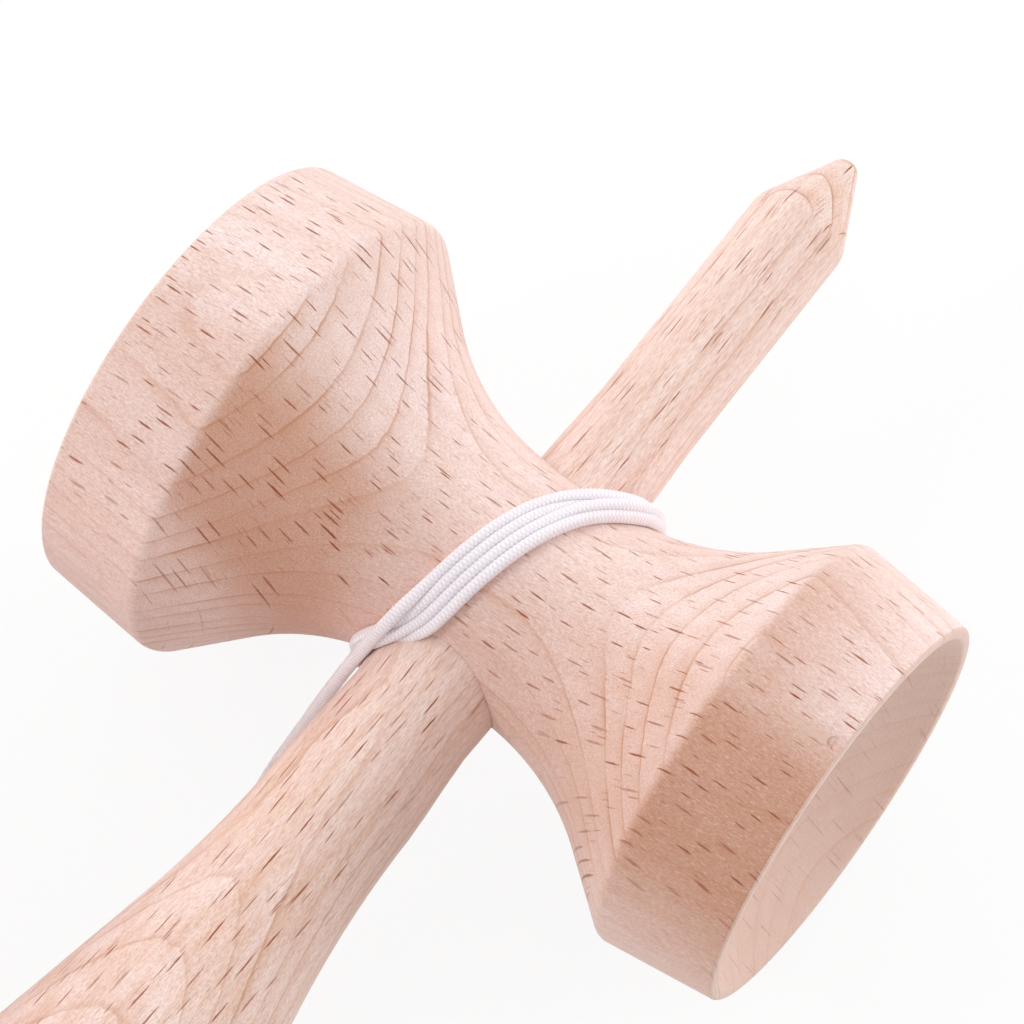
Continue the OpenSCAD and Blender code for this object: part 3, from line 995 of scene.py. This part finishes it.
    def build(self) -> Piece:
        """Makes the cross-piece and hangs it on its body.

        Returns:
            The piece.
        """
        piece = Lathe.finished(self.shape(), "cross_piece_wood", LAY.matrix())
        Lathe.cut(piece, self.cutters())
        self.finish.dress(piece)
        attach(piece, Body.CROSS.value)
        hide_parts("cross_piece")
        return piece


@dataclass
class Stick:
    """Turned stick with point, spike, tapered seat, handle and base cup.

    The waisting gives places between handle and neck, and how much thinner than the grip.
    """

    spike: float = 4.75
    reach: float = 51.0
    point_length: float = 8.0
    point_end: float = 1.3
    point_angle: float = 20.0
    point_round: float = 0.86
    point_run: float = 12.0
    neck: float = 6.1
    waist: float = 10.8
    seat_root: float = 9.0
    grip: float = 6.5
    waisting: tuple[tuple[float, float], ...] = ((-20.5, 0.13), (-17.5, 0.36), (-14.5, 0.53))
    flare_from: float = 23.0
    flare_bend: float = 18.0
    base_ridge: float = 17.4
    base_from: float = 88.0
    base_rim: float = 16.2
    base_end: float = 97.6
    base_depth: float = 6.8
    ridge_soft: float = 0.5
    lip_soft: float = 0.22
    lip_sharp: float = 20.0
    point_soft: float = 0.7
    near: float = 0.2
    steps: int = 128
    flare_parts: int = 8
    bend_parts: int = 18
    point_parts: int = 6
    tip_parts: int = 8
    finish: BeechFinish = field(default_factory=lambda: BeechFinish(
        "beech_of_stick", "beech_ken", Grain.ALONG_STICK, start=(60.0, 31.0, 0.0), spacing=1.6, phase=0.3,
        fleck_length=15.5, fleck_width=0.84, streak=2.2, pores=1.2, rings=1.5,
        pale=from_srgb(244, 219, 210), tan=from_srgb(229, 190, 168)))

    def outline(self) -> Outline:
        """Gives the outline from the bottom of the base cup to the point.

        Returns:
            Pairs of place along the stick and radius.
        """
        base = Cup(self.base_ridge, self.base_rim, self.base_from, self.base_end, self.base_depth)
        points = [(-along, radius) for along, radius in reversed(base.outline())]
        slope = (self.base_ridge - self.grip) / (self.base_from - self.flare_from - self.flare_bend / 2)
        bend = (-self.flare_from - self.flare_bend, self.grip + slope * self.flare_bend / 2)
        points += between((-self.base_from, self.base_ridge), bend, self.flare_parts)
        for i in range(self.bend_parts + 1):
            t = self.flare_bend * (1 - i / self.bend_parts)
            points.append((-self.flare_from - t, self.grip + slope * t * t / (2 * self.flare_bend)))
        points += [(along, self.grip - thinner) for along, thinner in self.waisting]
        tip = self.reach - self.point_length
        points += [(-self.waist, self.neck), (self.waist + self.seat_root, self.spike),
                   (tip - self.point_run, self.spike), (tip, self.spike)]
        point = (self.reach - self.point_round, self.point_end)
        points += between((tip, self.spike), point, self.point_parts)
        wide = cos(radians(self.point_angle))
        for angle in spaced(self.point_angle, 90.0 - self.point_angle, self.tip_parts):
            points.append((self.reach - self.point_end * (1 - sin(radians(angle))),
                           self.point_end * cos(radians(angle)) / wide))
        return points

    def build(self) -> Piece:
        """Makes the stick and hangs it on its body.

        Returns:
            The piece.
        """
        bm = Lathe.turned(self.outline(), self.steps)
        tip = self.reach - self.point_length
        Lathe.soften(bm, self.ridge_soft, lambda p: abs(p.x + self.base_from) < self.near)
        Lathe.soften(bm, self.lip_soft, lambda p: p.x < -self.base_end + self.near, self.lip_sharp)
        Lathe.soften(bm, self.point_soft, lambda p: abs(p.x - tip) < self.near)
        piece = Lathe.finished(bm, "stick_wood", LAY.matrix() @ QUARTER)
        self.finish.dress(piece)
        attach(piece, Body.STICK.value)
        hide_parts("ken")
        return piece


@dataclass
class Ball:
    """Turned ball with a hole for the spike and a string hole at the other pole."""

    middle: Triple = (-27.8979, -42.3854, 30.0)
    radius: float = 30.0
    hole: float = 9.0
    hole_depth: float = 46.0
    mouth: float = 1.5
    string_hole: float = 1.5
    floor_ring: float = 5.0
    mouth_soft: float = 0.5
    mouth_zone: float = 10.0
    string_soft: float = 0.4
    string_zone: float = 2.0
    steps: int = 144
    round_parts: int = 72
    hole_parts: int = 6
    string_parts: int = 4
    short: float = 0.999

    def outline(self) -> Outline:
        """Gives the closed outline: outside, mouth, spike hole and string hole.

        Returns:
            Pairs of place along the hole's axis and radius.
        """
        wide = self.hole + self.mouth
        first, last = asin(self.string_hole / self.radius), asin(wide / self.radius)
        points = [(-self.radius * cos(angle), self.radius * sin(angle))
                  for angle in spaced(first, pi - first - last, self.round_parts)]
        edge = sqrt(self.radius ** 2 - wide ** 2)
        deep = sqrt(self.radius ** 2 - self.hole ** 2) - self.hole_depth
        points += [(along, self.hole)
                   for along in spaced(edge - self.mouth, deep - edge + self.mouth, self.hole_parts)]
        points += [(deep, self.floor_ring), (deep, self.string_hole)]
        return points + [(deep + (-self.radius - deep) * i / self.string_parts * self.short, self.string_hole)
                         for i in range(1, self.string_parts)]

    def build(self) -> Piece:
        """Makes the ball and hangs it on its body.

        Returns:
            The piece.
        """
        bm = Lathe.turned(self.outline(), self.steps, closed=True)
        Lathe.soften(bm, self.mouth_soft, lambda p: p.x > self.radius - self.mouth_zone)
        Lathe.soften(bm, self.string_soft, lambda p: p.x < self.string_zone - self.radius)
        piece = Lathe.finished(bm, "ball_wood", LAY.level(Vector(self.middle) * MM))
        BeechFinish("beech_of_ball", "beech_ball", Grain.ALONG_STICK, middle=self.middle,
                    start=(140.0, 75.0, 40.0), tipped=False, hollows=False, spacing=2.9,
                    phase=0.4).dress(piece)
        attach(piece, Body.BALL.value)
        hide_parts("ball")
        return piece


@dataclass
class Bead:
    """Turned bead that keeps the string from slipping out of the ball."""

    middle: Triple
    radius: float = 4.0
    hole: float = 0.95
    hole_soft: float = 0.3
    hole_sharp: float = 40.0
    hole_zone: float = 0.4
    steps: int = 48
    round_parts: int = 30
    finish: BeechFinish = field(default_factory=lambda: BeechFinish(
        "beech_of_bead", "beech_bead", Grain.ALONG_STICK, start=(20.0, 9.0, 3.0), tipped=False,
        hollows=False, spacing=1.8))

    def build(self) -> Piece:
        """Makes the bead and hangs it on its body.

        Returns:
            The piece.
        """
        first = asin(self.hole / self.radius)
        outline = [(-self.radius * cos(angle), self.radius * sin(angle))
                   for angle in spaced(first, pi - 2 * first, self.round_parts)]
        bm = Lathe.turned(outline, self.steps, closed=True)
        Lathe.soften(bm, self.hole_soft, lambda p: abs(p.x) > self.radius - self.hole_zone, self.hole_sharp)
        piece = Lathe.finished(bm, "bead_wood", LAY.level(LAY.on_floor(self.middle)))
        self.finish.dress(piece)
        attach(piece, Body.TETHER.value)
        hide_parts("bead")
        return piece


@dataclass
class StopperKnot:
    """Overhand knot pulled tight in the string."""

    name: str
    node: str
    body: Body
    middle: Vector
    axis: Vector
    radius: float = 1.7
    strand: float = 0.56
    thick: float = 1.5
    tilt: float = 0.6
    parts: int = 120

    def build(self) -> Piece:
        """Ties the knot and hangs it on its body.

        Returns:
            The piece.
        """
        turn = Vector((0, 0, 1)).rotation_difference(self.axis).to_matrix()
        size = (self.radius - self.strand) / 3.0
        path, ups = [], []
        for t in spaced(0.0, 2 * pi, self.parts):
            loop = Vector((sin(t) + 2 * sin(2 * t), cos(t) - 2 * cos(2 * t), -self.thick * sin(3 * t)))
            path.append(self.middle + turn @ loop * (size * MM))
            ups.append((turn @ Vector((loop.x, loop.y, self.tilt))).normalized())
        piece = Braid().sheath(path, ups, [(self.strand, self.strand)] * len(path), self.name, closed=True)
        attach(piece, self.body.value)
        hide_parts(self.node)
        return piece


@dataclass
class WoundString:
    """String wound round the waist, from its knot in the wood to the table beside the handle.

    A form gives two shares of a swing and the power of the later one. An ease gives where a
    change begins and how far it runs: of crowding by the cosine of the angle, of the last turn
    in degrees before its end, and of the free end in millimetres.
    """

    cross: CrossPiece
    knot: float = 1.7
    pitch: float = 0.97
    wide: float = 0.53
    high: float = 0.6
    free_half: float = 0.6
    free_ease: tuple[float, float] = (34.0, 10.0)
    flank_most: float = 12.0
    gap: float = 0.02
    rise: float = 1.12
    pile: float = 0.8
    squeeze: float = 0.42
    spike_swing: float = 7.9
    spike_most: float = 6.6
    spike_form: tuple[float, float, int] = (0.445, 0.555, 3)
    spike_limit: int = 8
    spike_crowd: tuple[float, float] = (0.2, 0.7)
    handle_swing: float = 7.3
    handle_form: tuple[float, float, int] = (0.44, 0.56, 9)
    handle_crowd: tuple[float, float] = (0.78, 0.2)
    first_lane: float = 1.5
    lane_ease: tuple[float, float] = (30.0, 22.0)
    rise_ease: tuple[float, float] = (38.0, 34.0)
    turn_step: float = 5.0
    first: float = -66.0
    last: float = 1235.0
    leave_at: float = -5.35
    leave_slope: float = -0.066
    exit_points: tuple[Triple, ...] = (
        (-6.2, -12.7, 2.75), (-7.05, -13.9, 0.0), (-8.5, -16.25, -5.3), (-9.8, -18.6, -10.65))
    foot: Triple = (-11.9, -20.3, 5.0)
    braid: Braid = Braid(sides=30, step=0.11, square=2.5)

    def course(self, angle: float) -> float:
        """Swings the turns past spike and handle.

        Args:
            angle: Degrees wound so far.

        Returns:
            The place along the cross-piece of the middle of the turns.
        """
        c = cos(radians(angle))
        swing, form = (self.handle_swing, self.handle_form) if c < 0 else (self.spike_swing, self.spike_form)
        out = swing * (form[0] * c + form[1] * c ** form[2])
        if c < 0:
            return out
        return out / (1.0 + (out / self.spike_most) ** self.spike_limit) ** (1 / self.spike_limit)

    def spread(self, angle: float) -> float:
        """Gives the distance between turns along the cross-piece, wider where they slant."""
        slant = (self.course(angle + 1) - self.course(angle - 1)) / radians(2) / (self.cross.waist + 0.8)
        return self.pitch * sqrt(1.0 + slant * slant)

    def crowd(self, angle: float) -> float:
        """Gives how closely the turns crowd, from 0 on top and below to 1 beside the stick."""
        c = cos(radians(angle))
        begin, span = self.spike_crowd if c > 0 else self.handle_crowd
        return eased((abs(c) - begin) / span)

    def turn_point(self, angle: float) -> Vector:
        """Gives a point of the winding.

        Args:
            angle: Degrees wound so far: 0 at the spike, 90 on top, 180 at the handle.

        Returns:
            The point in toy millimetres.
        """
        crowd = self.crowd(angle)
        left = self.last - angle
        lane = self.first_lane - (angle - 90.0) / 360.0
        x = self.course(angle) + lane * self.spread(angle) * (1.0 - self.squeeze * crowd)
        straight = self.leave_at - self.leave_slope * left
        x += (straight - x) * eased((self.lane_ease[0] - left) / self.lane_ease[1])
        lift = self.pile * crowd * (int((angle + 90.0) // 360.0) % 2)
        lift += (self.rise - lift) * eased((self.rise_ease[0] - left) / self.rise_ease[1])
        r = self.cross.waist_radius(x) + self.gap + self.high + lift
        return Vector((x, r * cos(radians(angle)), r * sin(radians(angle))))

    def route(self) -> list[Vector]:
        """Gives the string's middle line from the knot to the foot of its drop.

        Returns:
            Points in metres.
        """
        ax, az = self.cross.anchor
        w, span = self.cross.waist, self.last - self.first
        start = ((ax, 0, az - self.knot), (ax, 0.0, -w + 1.85), (ax, 0.3, -w + 0.65),
                 (2.87, 1.2, -w - 0.34), (3.04, 2.5, -w - 0.8))
        turns = [self.turn_point(angle) for angle in spaced(self.first, span, round(span / self.turn_step))]
        points = [LAY.placed(p) for p in (*start, *turns, *self.exit_points)]
        return Route.curved(points + [LAY.on_floor(self.foot)], 4)

    def build(self, knot: Piece) -> Piece:
        """Args:
            knot: The stopper knot at its start; not used.

        Returns:
            The piece.
        """
        path = Route.even(self.route(), self.braid.step * MM)
        back, turn = LAY.matrix().inverted(), LAY.turn().to_3x3()
        ups, widths = [], []
        total = Route.length(path)
        for i, here in enumerate(path):
            toy = back @ here
            near = min(max(toy.x, -self.flank_most), self.flank_most)
            slope = (self.cross.waist_radius(near + 0.1) - self.cross.waist_radius(near - 0.1)) / 0.2
            reach = max(hypot(toy.y, toy.z), 1e-6)
            ups.append((turn @ Vector((-slope, toy.y / reach, toy.z / reach))).normalized())
            left = total / MM - i / (len(path) - 1) * total / MM
            free = eased((self.free_ease[0] - left) / self.free_ease[1])
            widths.append(tuple(half + (self.free_half - half) * free for half in (self.wide, self.high)))
        piece = self.braid.sheath(path, ups, widths, "wound_string", rounded=(True, False))
        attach(piece, Body.CROSS.value)
        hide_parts("string_winding")
        Route.declared(path)
        return piece


@dataclass
class FreeString:
    """Free stretch of the string, from the table beside the handle to the bead in the ball.

    The drop gives steps from the foot of the wound string and heights. The rise gives steps
    from the ball's string hole and heights as shares of the ball's radius.
    """

    wound: WoundString
    rest: float = 0.675
    ball: Triple = (-50.0, -66.0, 30.0)
    bore_end: float = -83.382
    bead: float = -78.982
    knot: float = -74.682
    half: float = 0.6
    drop: tuple[Triple, ...] = (
        (-0.33, -0.55, 3.8), (-0.6, -1.3, 2.6), (-0.72, -2.5, 1.5), (-0.65, -4.3, 0.85))
    on_table: tuple[tuple[float, float], ...] = (
        (-12.25, -27), (-11.8, -31), (-11.8, -38), (-12, -46), (-12.6, -54), (-13.5, -62), (-15, -70),
        (-16, -78), (-17, -86), (-19, -94), (-22, -102), (-26, -109), (-31.5, -114.5), (-38, -118),
        (-44, -119.5))
    up_to_ball: tuple[Triple, ...] = (
        (2.4, -23, 0.08), (0.8, -21, 7 / 30), (0.2, -18.5, 0.5), (0.0, -15, 0.76), (0.0, -10, 0.94),
        (0.0, -4, 1.0), (0.0, 2, 1.0))
    braid: Braid = Braid()

    def route(self) -> list[Vector]:
        """Gives the string's middle line from the foot of its drop to its knot.

        Returns:
            Points in metres.
        """
        x, y, _ = foot = self.wound.foot
        bx, by, r = self.ball
        mouth = by - r
        points = [foot] + [(x + dx, y + dy, z) for dx, dy, z in self.drop]
        points += [(px, py, self.rest) for px, py in self.on_table]
        points += [(bx + dx, mouth + dy, r * share) for dx, dy, share in self.up_to_ball]
        points += [(bx, inside, r) for inside in ((mouth + self.bore_end) / 2, self.bead - 2,
                                                  self.knot - 2, self.knot)]
        return Route.curved([LAY.on_floor(p) for p in points], 12)

    def build(self, pieces: Sequence[Piece]) -> Piece:
        """Args:
            pieces: The bead and the knot on it; not used.

        Returns:
            The piece.
        """
        path = Route.even(self.route(), self.braid.step * MM)
        ups, up = [], Vector((1.0, 0.0, 0.0))
        for i in range(len(path)):
            ahead = (path[min(i + 1, len(path) - 1)] - path[max(i - 1, 0)]).normalized()
            up = (up - ahead * up.dot(ahead)).normalized()
            ups.append(up.copy())
        piece = self.braid.sheath(path, ups, [(self.half, self.half)] * len(path), "free_string",
                                  rounded=(False, True))
        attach(piece, Body.TETHER.value)
        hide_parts("string_free")
        Route.length(path)
        Route.declared(path)
        return piece


@dataclass
class Studio:
    """Plain white table, soft lamps and the camera.

    Each lamp has the direction from the toy to it, its distance and its side in metres, and
    its light on a face turned to it, where 1 shows a colour as it is.
    """

    target: Triple = (17.66, 29.56, 21.34)
    distance: float = 360.0
    azimuth: float = 42.56
    elevation: float = 63.56
    roll: float = -6.07
    focal_pixels: float = 4116.7
    frame: float = 1024.0
    sensor: float = 36.0
    clip: tuple[float, float] = (0.01, 20.0)
    bright_side: Triple = (-0.3, 0.75, 0.6)
    dim: float = 0.28
    bright: float = 0.94
    sky_tint: Tint = (1.0, 0.99, 0.985)
    sky_ease: tuple[float, float] = (-0.15, 0.75)
    sky_gloss: float = 0.2
    table_radius: float = 3.0
    table_top: float = -0.0003
    table_sides: int = 96
    table_glow: float = 0.9
    table_rough: float = 0.9
    table_gloss: float = 0.1
    table_tints: tuple[Tint, Tint] = ((0.92, 0.92, 0.92), (0.95, 0.95, 0.95))
    lamps: dict[str, tuple[Triple, float, float, float]] = field(default_factory=lambda: {
        "back_softbox": ((-0.5, 0.6, 0.62), 0.6, 0.5, 0.18),
        "right_softbox": ((0.85, 0.5, 0.2), 0.3, 0.2, 0.36),
        "left_softbox": ((-0.95, -0.25, 0.2), 0.3, 0.2, 0.19),
        "cup_softbox": ((-0.5, -0.55, 0.67), 0.6, 0.15, 0.22),
        "front_softbox": ((0.08, -0.9, 0.42), 0.5, 0.2, 0.13)})

    def camera(self) -> None:
        """Sets up the camera at the photograph's viewing angle."""
        az, el, roll = radians(self.azimuth), radians(self.elevation), radians(self.roll)
        back = Vector((sin(az) * cos(el), -cos(az) * cos(el), sin(el)))
        right = Vector((cos(az), sin(az), 0.0))
        up = back.cross(right)
        side, top = cos(roll) * right + sin(roll) * up, -sin(roll) * right + cos(roll) * up
        lens = bpy.data.cameras.new("studio_camera")
        lens.sensor_width = self.sensor
        lens.lens = self.focal_pixels / self.frame * self.sensor
        lens.clip_start, lens.clip_end = self.clip
        camera = bpy.data.objects.new("studio_camera", lens)
        camera.matrix_world = Matrix((side, top, back)).transposed().to_4x4()
        camera.location = (Vector(self.target) + back * self.distance) * MM
        bpy.context.scene.collection.objects.link(camera)
        bpy.context.scene.camera = camera

    def hang_lamps(self) -> None:
        """Hangs the soft square lamps."""
        for name, (toward, far, size, level) in self.lamps.items():
            light = bpy.data.lights.new(name, "AREA")
            light.shape, light.size = "SQUARE", size
            light.energy = level * pi * pi * far * far
            lamp = bpy.data.objects.new(name, light)
            way = Vector(toward).normalized()
            lamp.location = Vector(self.target) * MM + way * far
            lamp.rotation_euler = way.to_track_quat("Z", "Y").to_euler()
            bpy.context.scene.collection.objects.link(lamp)

    def sky(self) -> None:
        """Surrounds the toy with light that is brighter on one side, looks white to the camera and partly
        white in gloss.
        """
        world = bpy.data.worlds.new("studio_sky")
        bpy.context.scene.world = world
        w = Wiring.cleared(world)
        seen = w.backdrop_rays(self.sky_gloss)
        facing = w.node("VectorMath", {0: w.node("TexCoord").outputs["Generated"],
                                       1: Vector(self.bright_side).normalized()}, operation="DOT_PRODUCT")
        light = w.ramp(facing.outputs["Value"], *self.sky_ease, self.dim, self.bright)
        glow = w.node("Background", {"Color": self.sky_tint,
                                     "Strength": w.plus(w.times(seen, w.minus(1.0, light)), light)})
        w.node("OutputWorld", {"Surface": glow.outputs[0]})

    def table(self) -> None:
        """Lays the white table, which keeps a faint shadow."""
        bm = bmesh.new()
        bmesh.ops.create_circle(bm, cap_ends=True, segments=self.table_sides, radius=self.table_radius)
        table = Lathe.finished(bm, "white_table", Matrix.Translation((0, 0, self.table_top)))
        made = bpy.data.materials.new("white_table")
        w = Wiring.cleared(made)
        mottle = w.cloud(w.place(), (0.4, 0.4, 0.4), 2.0)
        matt = w.node("BsdfPrincipled", {
            "Base Color": w.blend(mottle, *self.table_tints), "Roughness": self.table_rough,
            "Specular IOR Level": self.table_gloss})
        glow = w.node("Emission", {"Color": (1.0, 1.0, 1.0)})
        share = w.node("MixShader", {0: w.times(w.backdrop_rays(1.0), self.table_glow),
                                     1: matt.outputs["BSDF"], 2: glow.outputs["Emission"]})
        w.node("OutputMaterial", {"Surface": share.outputs[0]})
        table.data.materials.append(made)

    def build(self) -> None:
        """Sets up the camera, the table and the light."""
        bpy.context.scene.view_settings.view_transform = "Standard"
        self.camera()
        self.sky()
        self.table()
        self.hang_lamps()


def main() -> None:
    """Builds the toy and its studio in order and reports each piece."""
    logging.basicConfig(level=logging.INFO, format="%(name)s: %(message)s")
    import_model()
    Studio().build()
    LOG.info("studio, camera and lamps")

    cross = CrossPiece()
    wound = WoundString(cross)
    free = FreeString(wound)
    x, _, z = free.ball
    anchor = StopperKnot("anchor_knot_string", "anchor_knot", Body.CROSS,
                         LAY.placed((cross.anchor[0], 0.0, cross.anchor[1])), Vector((0, 0, 1))).build()
    LOG.info("wound string %s", wound.build(anchor).name)
    bead = Bead((x, free.bead, z)).build()
    stopper = StopperKnot("bead_knot_string", "bead_knot", Body.TETHER,
                          LAY.on_floor((x, free.knot + wound.knot, z)), Vector((0, 1, 0))).build()
    LOG.info("free string %s with %s and %s", free.build([bead, stopper]).name, bead.name, stopper.name)
    for part in (cross, Stick(), Ball()):
        piece = part.build()
        LOG.info("%s with %d faces", piece.name, len(piece.data.polygons))


if __name__ == "__main__":
    main()
